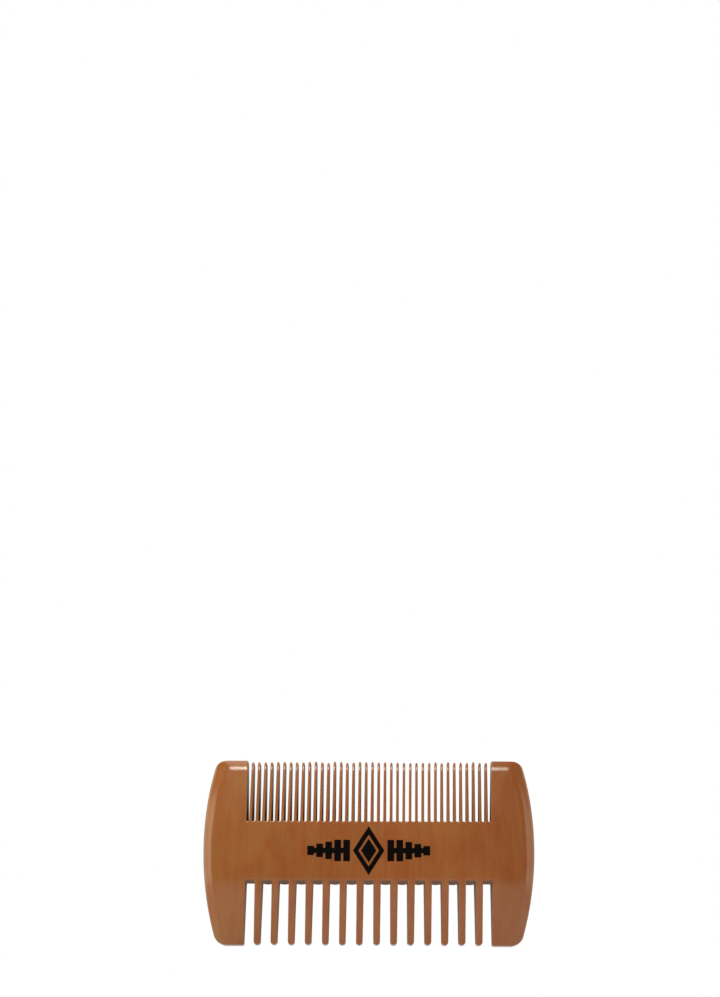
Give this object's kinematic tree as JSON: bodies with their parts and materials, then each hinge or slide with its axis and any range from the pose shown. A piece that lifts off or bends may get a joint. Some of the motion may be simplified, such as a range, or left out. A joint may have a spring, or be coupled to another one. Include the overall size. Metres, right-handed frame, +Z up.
{
  "type": "double-sided beard comb",
  "caption": "Wooden two-sided beard comb with fine teeth on one edge, wide teeth on the other, bulging end guards and a printed geometric ornament.",
  "frame": {"origin": "on the ground under the middle of the comb, centre of the bottom of its bounding box", "axes": "+X along the comb's length, +Y from the printed front face to the plain back face, +Z up from the wide teeth to the fine teeth"},
  "size_m": [0.1, 0.0091, 0.056],
  "materials": {
    "wood": "satin",
    "ink": "matte"
  },
  "bodies": {
    "root": {"spine": "wood", "guard_left": "wood", "guard_right": "wood", "fine_tooth_01": "wood", "fine_tooth_02": "wood", "fine_tooth_03": "wood", "fine_tooth_04": "wood", "fine_tooth_05": "wood", "fine_tooth_06": "wood", "fine_tooth_07": "wood", "fine_tooth_08": "wood", "fine_tooth_09": "wood", "fine_tooth_10": "wood", "fine_tooth_11": "wood", "fine_tooth_12": "wood", "fine_tooth_13": "wood", "fine_tooth_14": "wood", "fine_tooth_15": "wood", "fine_tooth_16": "wood", "fine_tooth_17": "wood", "fine_tooth_18": "wood", "fine_tooth_19": "wood", "fine_tooth_20": "wood", "fine_tooth_21": "wood", "fine_tooth_22": "wood", "fine_tooth_23": "wood", "fine_tooth_24": "wood", "fine_tooth_25": "wood", "fine_tooth_26": "wood", "fine_tooth_27": "wood", "fine_tooth_28": "wood", "fine_tooth_29": "wood", "fine_tooth_30": "wood", "fine_tooth_31": "wood", "fine_tooth_32": "wood", "fine_tooth_33": "wood", "fine_tooth_34": "wood", "fine_tooth_35": "wood", "fine_tooth_36": "wood", "fine_tooth_37": "wood", "fine_tooth_38": "wood", "wide_tooth_01": "wood", "wide_tooth_02": "wood", "wide_tooth_03": "wood", "wide_tooth_04": "wood", "wide_tooth_05": "wood", "wide_tooth_06": "wood", "wide_tooth_07": "wood", "wide_tooth_08": "wood", "wide_tooth_09": "wood", "wide_tooth_10": "wood", "wide_tooth_11": "wood", "wide_tooth_12": "wood", "wide_tooth_13": "wood", "wide_tooth_14": "wood", "print_lozenge_ring": "ink", "print_lozenge_core": "ink", "print_wing_left": "ink", "print_wing_right": "ink"}
  },
  "joints": []
}
